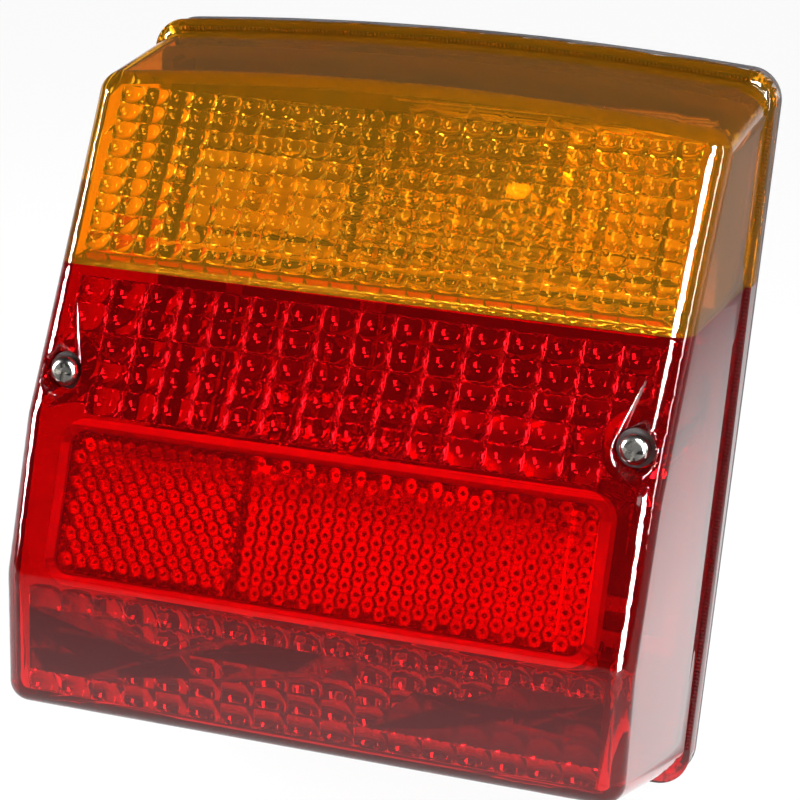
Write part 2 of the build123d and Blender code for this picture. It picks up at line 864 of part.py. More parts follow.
def terminal_end(x):
    """Pad on the terminal block, with its riser from the base, ready for the run."""
    pad_x = (x - terminal_pad / 2, x + terminal_pad / 2)
    slab(pad_x, (terminal_z - terminal_pad / 2, pad_high), (block_top, pad_top))
    slab(pad_x, (pad_high - strip_thickness, pad_high), (plate, pad_top))


def tongue(foot_x, way, depth, z, lane_x):
    """Upright tongue behind a spring, with its foot out to the strip's lane."""
    face_x = foot_x - way * tongue_back
    back_x = face_x - way * strip_thickness
    z_range = (z - tongue_width / 2, z + tongue_width / 2)
    slab(sorted((face_x, back_x)), z_range, (plate, depth + tongue_width / 2))
    outer_x = -way * (lane_x + strip_width / 2)
    slab(sorted((face_x, outer_x)), z_range, (plate, strip_top))


def lane(x, z_range):
    """Run of strip along Z on the base."""
    slab((x - strip_width / 2, x + strip_width / 2), z_range, (plate, strip_top))


def drill_pad(x):
    """Screw hole through a terminal pad."""
    with Locations(Plane.XZ.offset(pad_top) * Pos(x, terminal_z, 0)):
        Hole(radius=terminal_screw_radius, depth=strip_thickness)


indicator_x, earth_x, tail_x, stop_x = terminal_xs

with BuildPart() as indicator_strip:
    tongue(indicator_foot_x, 1, indicator_depth, indicator_z, inner_lane_x)
    lane(-inner_lane_x, (link_z[0], indicator_z + tongue_width / 2))
    slab((-inner_lane_x - strip_width / 2, indicator_x + terminal_pad / 2), link_z, (plate, strip_top))
    terminal_end(indicator_x)
    drill_pad(indicator_x)
keep(indicator_strip.part, "indicator_strip")

with BuildPart() as tail_strip:
    tongue(stop_foot_x, -1, stop_depth, stop_z - twin_offset, inner_lane_x)
    lane(inner_lane_x, (tail_link_z[0], stop_z - twin_offset + tongue_width / 2))
    slab((tail_x - strip_width / 2, inner_lane_x + strip_width / 2), tail_link_z, (plate, strip_top))
    lane(tail_x, (pad_high, tail_link_z[1]))
    terminal_end(tail_x)
    drill_pad(tail_x)
keep(tail_strip.part, "tail_strip")

with BuildPart() as stop_strip:
    tongue(stop_foot_x, -1, stop_depth, stop_z + twin_offset, outer_lane_x)
    lane(outer_lane_x, (link_z[0], stop_z + twin_offset + tongue_width / 2))
    slab((stop_x - terminal_pad / 2, outer_lane_x + strip_width / 2), link_z, (plate, strip_top))
    terminal_end(stop_x)
    drill_pad(stop_x)
keep(stop_strip.part, "stop_strip")

indicator_foot_edge = indicator_foot_x + leg_out + holder_foot_length
stop_foot_edge = stop_foot_x - leg_out - holder_foot_length
stop_arm_low = stop_z - holder_leg_width / 2

with BuildPart() as earth_strip:
    slab(earth_lane, (pad_high, indicator_z + earth_lane_width / 2), (plate, strip_top))
    slab(
        (indicator_foot_edge, earth_lane[0]),
        (indicator_z - earth_lane_width / 2, indicator_z + earth_lane_width / 2),
        (plate, strip_top),
    )
    arm_z = (stop_arm_low, stop_arm_low + earth_lane_width)
    slab((earth_lane[1], stop_foot_edge), arm_z, (plate, strip_top))
    terminal_end(earth_x)
    drill_pad(earth_x)
keep(earth_strip.part, "earth_strip")

with BuildPart() as terminal_screws:
    with BuildSketch(Plane.XZ.offset(pad_top)):
        with Locations(*[(x, terminal_z) for x in terminal_xs]):
            Circle(terminal_screw_radius)
    extrude(amount=-terminal_screw_length)
    with BuildSketch(Plane.XZ.offset(pad_top)):
        with Locations(*[(x, terminal_z) for x in terminal_xs]):
            Circle(terminal_head_radius)
    extrude(amount=terminal_head_height)
    with BuildSketch(Plane.XZ.offset(pad_top + terminal_head_height)):
        with Locations(*[(x, terminal_z) for x in terminal_xs]):
            Rectangle(terminal_slot_width, 2 * terminal_head_radius)
    extrude(amount=-terminal_slot_depth, mode=Mode.SUBTRACT)
keep(terminal_screws.part, "terminal_screws")

with BuildPart() as holder_rivets:
    with BuildSketch(Plane.XZ.offset(strip_top)):
        with Locations(*all_rivets):
            Circle(rivet_head_radius)
    extrude(amount=rivet_head)
    with BuildSketch(Plane.XZ.offset(strip_top)):
        with Locations(*all_rivets):
            Circle(rivet_radius)
    extrude(amount=-strip_thickness - rivet_depth)
keep(holder_rivets.part, "holder_rivets")
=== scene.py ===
# %% [markdown]
# # Trailer tail light
# A small combination lamp for the back of a trailer. A two-colour acrylic lens is screwed over a
# black base, and light from two bayonet bulbs leaves through the small pillow lenses moulded on
# its inner side. The lens is looked at through its own thickness, so its inner shapes are real
# geometry here, and the acrylic over them is a material that light passes through.

# %% Load the fixed frame
import math

import bpy
from mathutils import Matrix, Vector


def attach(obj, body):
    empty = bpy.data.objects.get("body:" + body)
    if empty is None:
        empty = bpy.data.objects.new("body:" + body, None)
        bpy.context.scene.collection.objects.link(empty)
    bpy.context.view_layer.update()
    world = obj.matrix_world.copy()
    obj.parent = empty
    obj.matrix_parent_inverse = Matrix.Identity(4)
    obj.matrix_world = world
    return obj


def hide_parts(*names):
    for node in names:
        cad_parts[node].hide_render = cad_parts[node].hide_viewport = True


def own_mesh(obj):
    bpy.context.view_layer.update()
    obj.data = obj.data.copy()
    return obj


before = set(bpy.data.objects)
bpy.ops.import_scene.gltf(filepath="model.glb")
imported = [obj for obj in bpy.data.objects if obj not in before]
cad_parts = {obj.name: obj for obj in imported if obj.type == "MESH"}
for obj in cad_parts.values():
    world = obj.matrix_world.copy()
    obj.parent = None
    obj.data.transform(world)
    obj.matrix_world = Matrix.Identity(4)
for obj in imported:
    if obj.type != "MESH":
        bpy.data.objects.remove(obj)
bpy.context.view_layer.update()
bpy.ops.object.select_all(action="DESELECT")
MM = 0.001

# %% [markdown]
# Colours are written as the hex values an eye would pick on a screen. Blender shades in linear
# light, so one function turns them round. A second function adds one node with its settings and
# links, and every material below is made with it.

# %% Colours and nodes


def linear(code):
    """Hex sRGB colour as linear values."""
    parts = [int(code[i : i + 2], 16) / 255 for i in (1, 3, 5)]
    return tuple(c / 12.92 if c <= 0.04045 else ((c + 0.055) / 1.055) ** 2.4 for c in parts) + (1.0,)


def add_node(tree, kind, links=None, **settings):
    """A node with its properties, and its input values or links."""
    node = tree.nodes.new(kind)
    for name, value in settings.items():
        setattr(node, name, value)
    for socket, value in (links or {}).items():
        if isinstance(value, bpy.types.NodeSocket):
            tree.links.new(value, node.inputs[socket])
        else:
            node.inputs[socket].default_value = value
    return node


# %% [markdown]
# Most finishes on this lamp differ in the same few ways: two close shades that drift into each
# other over some millimetres, a gloss that is a little uneven, and a fine grain in the surface.
# `finish` lays those three over one Principled shader. The drift is what dust, flow lines and
# handling leave on a real surface, and the grain is the texture of the mould or of the plating.

# %% One way to lay a finish


def finish(name, shade, other_shade, drift_mm, rough, grain_mm, grain_height_mm, **values):
    """A material with two drifting shades, uneven gloss between the two `rough` values and a grain."""
    material = bpy.data.materials.new(name)
    material.use_nodes = True
    tree = material.node_tree
    shader = tree.nodes["Principled BSDF"]
    place = add_node(tree, "ShaderNodeTexCoord").outputs["Object"]
    drift = add_node(tree, "ShaderNodeTexNoise", {"Vector": place, "Scale": 1 / (drift_mm * MM), "Detail": 3.0})
    colour = add_node(
        tree,
        "ShaderNodeMix",
        {"Factor": drift.outputs["Fac"], 6: linear(shade), 7: linear(other_shade)},
        data_type="RGBA",
    )
    gloss = add_node(
        tree,
        "ShaderNodeMapRange",
        {"Value": drift.outputs["Fac"], "From Min": 0.35, "From Max": 0.65, "To Min": rough[0], "To Max": rough[1]},
    )
    grain = add_node(tree, "ShaderNodeTexNoise", {"Vector": place, "Scale": 1 / (grain_mm * MM), "Detail": 2.0})
    bump = add_node(
        tree,
        "ShaderNodeBump",
        {"Height": grain.outputs["Fac"], "Strength": 1.0, "Distance": grain_height_mm * MM},
    )
    tree.links.new(colour.outputs[2], shader.inputs["Base Color"])
    tree.links.new(gloss.outputs["Result"], shader.inputs["Roughness"])
    tree.links.new(bump.outputs["Normal"], shader.inputs["Normal"])
    for socket, value in values.items():
        shader.inputs[socket.replace("_", " ")].default_value = value
    return material


# %% [markdown]
# The two lens colours are moulded acrylic (PMMA). A polished mould gives it a wet gloss, its index
# is 1.49, and the dye is in the whole thickness, so edges and folds look deeper than flat walls.
# The amber is a bright yellow-orange and the red a deep signal red.

# %% Acrylic for the lens and the reflector
amber_acrylic = finish(
    "moulded amber acrylic", "#FFBE2E", "#FFA618", 14, (0.02, 0.05), 6.0, 0.004,
    Transmission_Weight=0.98, IOR=1.49,
)
red_acrylic = finish(
    "moulded red acrylic", "#DC1018", "#CC060F", 14, (0.02, 0.05), 6.0, 0.004,
    Transmission_Weight=0.98, IOR=1.49,
)
prism_acrylic = finish(
    "moulded red acrylic with corner prisms", "#EC2026", "#DE161B", 9, (0.02, 0.05), 3.0, 0.002,
    Transmission_Weight=0.95, IOR=1.49,
)
print("acrylics", amber_acrylic.name, red_acrylic.name, prism_acrylic.name)

# %% [markdown]
# The base is black polypropylene from a lightly sparked mould, so it has a soft sheen and a fine
# grain. Seals and the grommet are matt rubber. The divider inside is white plastic, which throws
# the light of the bulbs forward and makes the amber half look bright.

# %% Plastics and rubber
black_plastic = finish(
    "sparked black polypropylene", "#17171A", "#1E1E21", 8, (0.38, 0.5), 0.5, 0.012, IOR=1.49
)
seal_rubber = finish("matt black EPDM rubber", "#121213", "#1C1C1C", 5, (0.6, 0.75), 0.7, 0.02, IOR=1.52)
white_plastic = finish("glossy white ABS", "#F2F1EC", "#E9E7DF", 12, (0.2, 0.32), 1.2, 0.004, IOR=1.54)
backing_plastic = finish("satin red ABS backing", "#A8141A", "#8C0C12", 12, (0.3, 0.42), 1.2, 0.006, IOR=1.54)
phenolic = finish("brown phenolic board", "#4A2A16", "#5A3520", 3, (0.45, 0.6), 0.6, 0.01, IOR=1.6)
print("plastics", black_plastic.name, white_plastic.name)

# %% [markdown]
# Metals keep the default index and full Metallic. Zinc plating is a grey that clouds a little,
# the screws are brighter, brass contacts are yellow, and the indicator reflector is bright
# vacuum-coated aluminium. Bulb glass is clear and thin, with a nickel-plated brass cap.

# %% Metals and bulb glass
bright_aluminium = finish("vacuum-coated aluminium", "#E6E7E9", "#D6D8DB", 10, (0.12, 0.22), 2.0, 0.006, Metallic=1.0)
zinc_steel = finish("zinc-plated steel", "#B9BCBF", "#9FA4A8", 4, (0.25, 0.4), 0.8, 0.01, Metallic=1.0)
plated_screw = finish("bright nickel-plated steel", "#A8A6A0", "#8E8C88", 3, (0.14, 0.26), 0.6, 0.006, Metallic=1.0)
spring_steel = finish("drawn spring steel", "#9C9EA2", "#83868B", 2, (0.25, 0.38), 0.5, 0.006, Metallic=1.0)
brass = finish("stamped brass", "#D8B25A", "#C39A43", 4, (0.22, 0.36), 0.7, 0.008, Metallic=1.0)
nickel_cap = finish("nickel-plated brass cap", "#C9C6BC", "#B3B0A6", 4, (0.2, 0.34), 0.7, 0.008, Metallic=1.0)
solder = finish("tin solder", "#B8B9BB", "#9B9DA0", 1.5, (0.3, 0.45), 0.6, 0.02, Metallic=1.0)
filament_wire = finish("drawn tungsten wire", "#6E6F74", "#5A5B60", 1.0, (0.35, 0.5), 0.3, 0.004, Metallic=1.0)
bulb_glass = finish(
    "blown soda glass", "#FDFEFE", "#F5FAF8", 9, (0.0, 0.02), 5.0, 0.003, Transmission_Weight=1.0, IOR=1.5
)
black_glass = finish("fused black glass", "#0E0E10", "#151517", 3, (0.08, 0.16), 1.0, 0.006, IOR=1.52)
print("metals", zinc_steel.name, brass.name)

# %% [markdown]
# Each CAD node now takes its real finish. The lists follow the way the lamp is put together: the
# base with its seals, the lens with its reflector, and the two bulbs in their holders.

# %% Finishes on the CAD nodes
node_finish = {
    black_plastic: ("base_housing",),
    seal_rubber: ("cable_grommet", "lens_gasket", "screw_seal_left", "screw_seal_right"),
    white_plastic: ("chamber_divider",),
    backing_plastic: ("reflex_backing",),
    bright_aluminium: ("indicator_reflector",),
    plated_screw: ("lens_screw_left", "lens_screw_right", "terminal_screws"),
    zinc_steel: (
        "mounting_stud_left", "mounting_stud_right", "stud_retainer_left", "stud_retainer_right",
        "indicator_holder", "stop_holder",
    ),
    spring_steel: ("indicator_contact_springs", "stop_contact_springs"),
    brass: (
        "earth_strip", "indicator_strip", "stop_strip", "tail_strip", "holder_rivets",
        "indicator_contact_buttons", "stop_contact_buttons",
    ),
    phenolic: ("indicator_contact_carrier", "stop_contact_carrier"),
    nickel_cap: ("indicator_bulb_cap", "stop_bulb_cap"),
    solder: ("indicator_bulb_contacts", "stop_bulb_contacts"),
    black_glass: ("indicator_bulb_insulator", "stop_bulb_insulator"),
    bulb_glass: ("indicator_bulb_glass", "stop_bulb_glass"),
    filament_wire: ("indicator_bulb_filament", "stop_bulb_filament"),
    amber_acrylic: ("lens_amber",),
    red_acrylic: ("lens_red",),
    prism_acrylic: ("reflex_reflector",),
}
for material, names in node_finish.items():
    for name in names:
        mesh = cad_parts[name].data
        mesh.materials.clear()
        mesh.materials.append(material)
named = {name for names in node_finish.values() for name in names}
print(len(named), "nodes finished, left over:", sorted(set(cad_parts) - named))

# %% [markdown]
# The lens is copied from its CAD mesh so that pillows can be joined on. A CAD mesh is loose
# triangles, so a copy is merged first, which closes it into one solid skin.

# %% Copies to work on


def copy_of(node, name):
    """A merged copy of a CAD node, at the origin like the node itself."""
    bpy.ops.object.select_all(action="DESELECT")
    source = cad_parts[node]
    piece = bpy.data.objects.new(name, source.data.copy())
    bpy.context.collection.objects.link(piece)
    make_active(piece)
    bpy.ops.object.mode_set(mode="EDIT")
    bpy.ops.mesh.select_all(action="SELECT")
    bpy.ops.mesh.remove_doubles(threshold=1e-7)
    bpy.ops.object.mode_set(mode="OBJECT")
    return piece


def make_active(piece):
    """Select one piece alone and make it the active one."""
    bpy.ops.object.select_all(action="DESELECT")
    piece.select_set(True)
    bpy.context.view_layer.objects.active = piece


def apply_modifier(piece, kind, **settings):
    """Add one modifier with its settings and apply it."""
    make_active(piece)
    modifier = piece.modifiers.new(kind.lower(), kind)
    for name, value in settings.items():
        setattr(modifier, name, value)
    bpy.ops.object.modifier_apply(modifier=modifier.name)


# %% [markdown]
# A facet of the lens face is placed by a matrix: local X runs across the lamp, local Y runs down
# the slope, and local Z points into the lamp. In that order they are right-handed, so a piece
# isn't turned inside out by the matrix. The inner side of a facet lies one wall
# thickness in from its outer side. Heights and depths are in millimetres.

# %% Facets of the lens face
LENS_WALL = 2.3
FACE_TOP, KNEE, CHIN, FACE_BOTTOM = (32.0, 48.0), (55.3, 1.6), (60.6, -21.0), (58.5, -40.0)


def facet(upper, lower, height, inward):
    """Matrix of the plane `inward` millimetres behind a facet, centred at `height`."""
    rise, run = upper[1] - lower[1], upper[0] - lower[0]
    length = math.hypot(rise, run)
    along = Vector((0, run / length, -rise / length))
    into = Vector((0, rise / length, run / length))
    share = (height - lower[1]) / rise
    depth = lower[0] + share * run
    centre = Vector((0, -depth, height)) + into * inward
    columns = Matrix((Vector((1, 0, 0)), along, into)).transposed()
    return Matrix.Translation(centre * MM) @ columns.to_4x4()


print("slope of the upper facet", round(math.degrees(math.atan2(23.3, 46.4)), 1), "degrees")

# %% [markdown]
# Light is spread by pillow lenses, small convex cushions in rows. One cushion is a piece of a ball:
# a UV sphere is cut with bisect to the rectangle of its cell, and two Array modifiers repeat it.
# The open rim is then extruded back and flattened inside the wall, which makes the bank a solid
# that a Boolean can join to the lens.

# %% One bank of pillows
SINK = 0.6


def pillow_bank(name, counts, cell, ball, where):
    """A solid bank of `counts` pillows of size `cell`, cut from a ball of radius `ball`."""
    bpy.ops.object.select_all(action="DESELECT")
    corner = math.sqrt(ball**2 - (cell[0] / 2) ** 2 - (cell[1] / 2) ** 2)
    bpy.ops.mesh.primitive_uv_sphere_add(
        segments=16, ring_count=16, radius=ball * MM, location=(0, 0, -corner * MM)
    )
    bank = bpy.context.object
    bank.name = bank.data.name = name
    bpy.ops.object.transform_apply(location=True)
    bpy.ops.object.mode_set(mode="EDIT")
    half_x, half_y = cell[0] / 2 * MM, cell[1] / 2 * MM
    for point, direction in (
        ((0, 0, -0.3 * MM), (0, 0, -1)),
        ((half_x, 0, 0), (1, 0, 0)),
        ((-half_x, 0, 0), (-1, 0, 0)),
        ((0, half_y, 0), (0, 1, 0)),
        ((0, -half_y, 0), (0, -1, 0)),
    ):
        bpy.ops.mesh.select_all(action="SELECT")
        bpy.ops.mesh.bisect(plane_co=point, plane_no=direction, clear_outer=True)
    bpy.ops.object.mode_set(mode="OBJECT")
    for axis, (count, size) in enumerate(zip(counts, cell)):
        step = [0.0, 0.0, 0.0]
        step[axis] = size * MM
        apply_modifier(
            bank, "ARRAY", count=count, use_relative_offset=False, use_constant_offset=True,
            constant_offset_displace=step, use_merge_vertices=True, merge_threshold=2e-6,
        )
    bpy.ops.object.mode_set(mode="EDIT")
    bpy.ops.mesh.select_all(action="SELECT")
    bpy.ops.mesh.remove_doubles(threshold=2e-6)
    bpy.ops.transform.translate(
        value=(-(counts[0] - 1) * half_x, -(counts[1] - 1) * half_y, -0.02 * MM)
    )
    bpy.ops.mesh.select_all(action="DESELECT")
    bpy.ops.mesh.select_mode(type="EDGE")
    bpy.ops.mesh.select_non_manifold()
    bpy.ops.mesh.extrude_region_move()
    bpy.ops.transform.resize(value=(1, 1, 0), center_override=(0, 0, -SINK * MM))
    bpy.ops.mesh.edge_face_add()
    bpy.ops.mesh.select_all(action="SELECT")
    bpy.ops.mesh.normals_make_consistent(inside=False)
    bpy.ops.object.mode_set(mode="OBJECT")
    bank.data.transform(where)
    print(name, "has", len(bank.data.polygons), "faces, sag", round(ball - corner, 2), "mm")
    return bank


# %% [markdown]
# The amber half carries small, nearly square pillows in nine rows. The red half has larger ones
# between the screw bosses, and a band of tall narrow rows below the reflector.

# %% Join the banks to the lens
AMBER_CELL, BAND_CELL, FOOT_CELL = (3.75, 2.85), (5.3, 4.0), (4.9, 3.2)


def join_banks(lens, banks):
    """Boolean union of the banks with the lens, which uses them up."""
    for bank in banks:
        apply_modifier(lens, "BOOLEAN", operation="UNION", object=bank, solver="MANIFOLD")
        bpy.data.objects.remove(bank)


amber_lens = copy_of("lens_amber", "amber_lens")
amber_bank = pillow_bank(
    "amber_pillows", (23, 9), AMBER_CELL, 3.4, facet(FACE_TOP, KNEE, 35.8, LENS_WALL)
)
join_banks(amber_lens, [amber_bank])
red_lens = copy_of("lens_red", "red_lens")
red_banks = [
    pillow_bank("band_upper", (16, 2), BAND_CELL, 4.6, facet(FACE_TOP, KNEE, 17.0, LENS_WALL)),
    pillow_bank("band_lower", (14, 3), BAND_CELL, 4.6, facet(FACE_TOP, KNEE, 8.05, LENS_WALL)),
    pillow_bank("foot_pillows", (17, 5), FOOT_CELL, 4.2, facet(CHIN, FACE_BOTTOM, -30.6, LENS_WALL)),
]
join_banks(red_lens, red_banks)
for lens, node, slot, material in (
    (amber_lens, "lens_amber", "amber_lens", amber_acrylic),
    (red_lens, "lens_red", "red_lens", red_acrylic),
):
    make_active(lens)
    bpy.ops.object.shade_smooth_by_angle(angle=math.radians(32))
    apply_modifier(lens, "WEIGHTED_NORMAL", keep_sharp=True)
    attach(lens, "lens")
    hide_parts(node)
    print(lens.name, len(lens.data.polygons), "faces")

# %% [markdown]
# The reflex reflector sends a headlamp's light back where it came from. Its back is a field of
# corner cubes: three faces at right angles, seen along the diagonal as a hexagon. One cell is a
# six-sided circle filled as a fan, with its centre and every other corner pushed in. Two halves of
# the field lie at different turns, as moulds for such reflectors are built from bundled pins.

# %% A field of corner cubes
ACROSS_FLATS = 2.1
CUBE_EDGE = ACROSS_FLATS / math.sqrt(2)
REFLEX_WIDTH, REFLEX_HEIGHT, REFLEX_THICKNESS, REFLEX_GAP = 76.0, 20.0, 2.4, 0.3


def corner_cubes(name, columns, rows, turn_degrees, shift_x, where):
    """A slab whose inner side is a field of corner cubes, larger than the half it will be cut to."""
    bpy.ops.object.select_all(action="DESELECT")
    bpy.ops.mesh.primitive_circle_add(
        vertices=6, radius=ACROSS_FLATS / math.sqrt(3) * MM, fill_type="TRIFAN"
    )
    field = bpy.context.object
    field.name = field.data.name = name
    low = -CUBE_EDGE / math.sqrt(3) * MM
    rim = sorted((v for v in field.data.vertices if v.co.length > 1e-6), key=lambda v: math.atan2(v.co.y, v.co.x))
    for number, vertex in enumerate(rim):
        vertex.co.z = low if number % 2 else 2 * low
    for step in (
        (ACROSS_FLATS * MM, 0, 0),
        (ACROSS_FLATS / 2 * MM, ACROSS_FLATS * math.sqrt(3) / 2 * MM, 0),
    ):
        apply_modifier(
            field, "ARRAY", count=columns if not step[1] else rows, use_relative_offset=False,
            use_constant_offset=True, constant_offset_displace=step,
            use_merge_vertices=True, merge_threshold=2e-6,
        )
    bpy.ops.object.mode_set(mode="EDIT")
    bpy.ops.mesh.select_all(action="SELECT")
    bpy.ops.mesh.remove_doubles(threshold=2e-6)
    bpy.ops.mesh.select_all(action="DESELECT")
    bpy.ops.mesh.select_mode(type="EDGE")
    bpy.ops.mesh.select_non_manifold()
    bpy.ops.mesh.extrude_region_move()
    bpy.ops.transform.resize(value=(1, 1, 0), center_override=(0, 0, -4 * MM))
    bpy.ops.mesh.edge_face_add()
    bpy.ops.mesh.select_all(action="SELECT")
    bpy.ops.mesh.normals_make_consistent(inside=False)
    bpy.ops.object.mode_set(mode="OBJECT")
    middle = sum((Vector(corner) for corner in field.bound_box), Vector()) / 8
    centred = Matrix.Translation((-middle.x, -middle.y, 0))
    turned = Matrix.Rotation(math.radians(turn_degrees), 4, "Z")
    field.data.transform(where @ Matrix.Translation((shift_x * MM, 0, 0)) @ turned @ centred)
    return field


# %% [markdown]
# The reflector keeps the CAD outline: a copy of the plate is cut in two, and each half is
# intersected with its own field.

# %% The reflector from its plate and two fields
SPLIT_X = -12.0
reflex_back = facet(KNEE, CHIN, (KNEE[1] + CHIN[1]) / 2, LENS_WALL + REFLEX_GAP + REFLEX_THICKNESS)
halves = []
for name, keep_left, columns, rows, turn, shift in (
    ("reflex_left", True, 34, 24, 0.0, -26.0),
    ("reflex_right", False, 44, 30, 30.0, 14.0),
):
    half = copy_of("reflex_reflector", name)
    bpy.ops.object.mode_set(mode="EDIT")
    bpy.ops.mesh.select_all(action="SELECT")
    bpy.ops.mesh.bisect(
        plane_co=(SPLIT_X * MM, 0, 0), plane_no=(1 if keep_left else -1, 0, 0),
        use_fill=True, clear_outer=True,
    )
    bpy.ops.object.mode_set(mode="OBJECT")
    field = corner_cubes(name + "_field", columns, rows, turn, shift, reflex_back)
    apply_modifier(half, "BOOLEAN", operation="INTERSECT", object=field, solver="MANIFOLD")
    bpy.data.objects.remove(field)
    halves.append(half)
bpy.ops.object.select_all(action="DESELECT")
for half in halves:
    half.select_set(True)
bpy.context.view_layer.objects.active = halves[0]
bpy.ops.object.join()
reflector = bpy.context.object
reflector.name = reflector.data.name = "reflex_prisms"
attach(reflector, "lens")
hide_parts("reflex_reflector")
print("reflector", len(reflector.data.polygons), "faces")

# %% [markdown]
# Each bulb presses on a carrier with contact springs behind it, which shorten when the bulb is
# pushed in. The springs are copied from the CAD mesh.

# %% Contact springs copied from the CAD mesh
for node, name, joint, fixed_end in (
    ("indicator_contact_springs", "indicator_springs", "indicator_bulb_push", 0),
    ("stop_contact_springs", "stop_springs", "stop_bulb_push", 1),
):
    springs = copy_of(node, name)
    bpy.ops.object.shade_smooth_by_angle(angle=math.radians(40))
    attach(springs, "housing")
    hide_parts(node)
    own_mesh(springs)

# %% [markdown]
# Where the two colours meet, the red moulding laps behind the amber with a low toothed lip. One
# tooth is a cube whose inner face is inset and drawn in, and an Array lays them side by side.

# %% The toothed lip at the colour joint
LIP_HEIGHT, LIP_DEPTH, LIP_TEETH = 2.2, 0.9, 23
bpy.ops.object.select_all(action="DESELECT")
bpy.ops.mesh.primitive_cube_add(size=1.0)
lip = bpy.context.object
lip.name = lip.data.name = "joint_lip"
lip.scale = (AMBER_CELL[0] * MM, LIP_HEIGHT * MM, LIP_DEPTH * MM)
bpy.ops.object.transform_apply(scale=True)
bpy.ops.object.mode_set(mode="EDIT")
bpy.ops.mesh.select_all(action="DESELECT")
bpy.ops.object.mode_set(mode="OBJECT")
for face in lip.data.polygons:
    face.select = face.normal.z > 0.9
bpy.ops.object.mode_set(mode="EDIT")
bpy.ops.mesh.select_mode(type="FACE")
bpy.ops.mesh.inset(thickness=0.35 * MM, depth=0.5 * MM)
bpy.ops.object.mode_set(mode="OBJECT")
apply_modifier(
    lip, "ARRAY", count=LIP_TEETH, use_relative_offset=False, use_constant_offset=True,
    constant_offset_displace=(AMBER_CELL[0] * MM, 0, 0), use_merge_vertices=True, merge_threshold=1e-6,
)
lip_start = Matrix.Translation((-(LIP_TEETH - 1) / 2 * AMBER_CELL[0] * MM, 0, 0))
lip.data.transform(facet(FACE_TOP, KNEE, 23.1, LENS_WALL + LIP_DEPTH / 2 + 0.02) @ lip_start)
lip.data.materials.append(red_acrylic)
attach(lip, "lens")
print("lip teeth", LIP_TEETH)

# %% [markdown]
# The ledge of the lens skirt carries a fine row of ridges, as a grip for the mould's ejector. The
# ridges along the straight sides come from an Array. The top edge is slightly bowed, so its ridges
# are spun round the centre of that bow with Spin's duplicates.

# %% The ridged ledge
LEDGE_DEPTH, RIDGE_PITCH, RIDGE_WIDTH, RIDGE_REACH, RIDGE_HEIGHT = 6.4, 0.6, 0.34, 0.6, 0.35
SIDE_TOP, SIDE_BOTTOM, LEDGE_TOP, BOW = (48.75, 54.1), (46.17, -53.9), 54.14, 2.2


def one_ridge(name, size, spot):
    """A ridge with a narrowed crest, standing forward from the ledge."""
    bpy.ops.object.select_all(action="DESELECT")
    bpy.ops.mesh.primitive_cube_add(size=1.0)
    ridge = bpy.context.object
    ridge.name = ridge.data.name = name
    ridge.scale = [v * MM for v in size]
    ridge.location = [v * MM for v in spot]
    bpy.ops.object.transform_apply(location=True, scale=True)
    for vertex in ridge.data.vertices:
        vertex.select = False
    bpy.ops.object.mode_set(mode="EDIT")
    bpy.ops.mesh.select_all(action="DESELECT")
    bpy.ops.object.mode_set(mode="OBJECT")
    for face in ridge.data.polygons:
        face.select = face.normal.y < -0.9
    bpy.ops.object.mode_set(mode="EDIT")
    bpy.ops.transform.resize(value=(0.6, 1.0, 0.6), center_override=[v * MM for v in spot])
    bpy.ops.object.mode_set(mode="OBJECT")
    return ridge


ridge_rows = []
side_slope = (SIDE_TOP[0] - SIDE_BOTTOM[0]) / (SIDE_TOP[1] - SIDE_BOTTOM[1])
side_start = SIDE_BOTTOM[1] + 5.0
side_count = int((SIDE_TOP[1] - SIDE_BOTTOM[1] - 10.0) / RIDGE_PITCH)
for name, hand in (("ridges_left", -1), ("ridges_right", 1)):
    ledge_x = hand * (SIDE_BOTTOM[0] + 5.0 * side_slope - 0.36)
    row = one_ridge(
        name, (RIDGE_REACH, RIDGE_HEIGHT + 0.2, RIDGE_WIDTH), (ledge_x, -LEDGE_DEPTH - RIDGE_HEIGHT / 2 + 0.1, side_start)
    )
    apply_modifier(
        row, "ARRAY", count=side_count, use_relative_offset=False, use_constant_offset=True,
        constant_offset_displace=(hand * side_slope * RIDGE_PITCH * MM, 0, RIDGE_PITCH * MM),
    )
    ridge_rows.append(row)
bow_radius = (SIDE_TOP[0] ** 2 + BOW**2) / (2 * BOW)
bow_centre = LEDGE_TOP + BOW - bow_radius
bow_half = math.asin((SIDE_TOP[0] - 4.0) / bow_radius)
start_spot = (
    -math.sin(bow_half) * (bow_radius - 0.36), -LEDGE_DEPTH - RIDGE_HEIGHT / 2 + 0.1,
    bow_centre + math.cos(bow_half) * (bow_radius - 0.36),
)
top_row = one_ridge("ridges_top", (RIDGE_WIDTH, RIDGE_HEIGHT + 0.2, RIDGE_REACH), start_spot)
bpy.ops.object.mode_set(mode="EDIT")
bpy.ops.mesh.select_all(action="SELECT")
bpy.ops.mesh.spin(
    steps=int(2 * bow_half * bow_radius / RIDGE_PITCH), dupli=True, angle=2 * bow_half,
    center=(0, 0, bow_centre * MM), axis=(0, -1, 0),
)
bpy.ops.object.mode_set(mode="OBJECT")
ridge_rows.append(top_row)
bpy.ops.object.select_all(action="DESELECT")
for row in ridge_rows:
    row.select_set(True)
bpy.context.view_layer.objects.active = ridge_rows[0]
bpy.ops.object.join()
ridges = bpy.context.object
ridges.name = ridges.data.name = "skirt_ridges"
SEAM_Z = 24.2
ridges.data.materials.append(amber_acrylic)
ridges.data.materials.append(red_acrylic)
for face in ridges.data.polygons:
    face.material_index = 0 if face.center.z > SEAM_Z * MM else 1
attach(ridges, "lens")
print("ridge box", [round(v * 1000, 1) for v in ridges.dimensions])

# %% [markdown]
# The camera looks from above and from the lamp's right, with a moderately long lens.

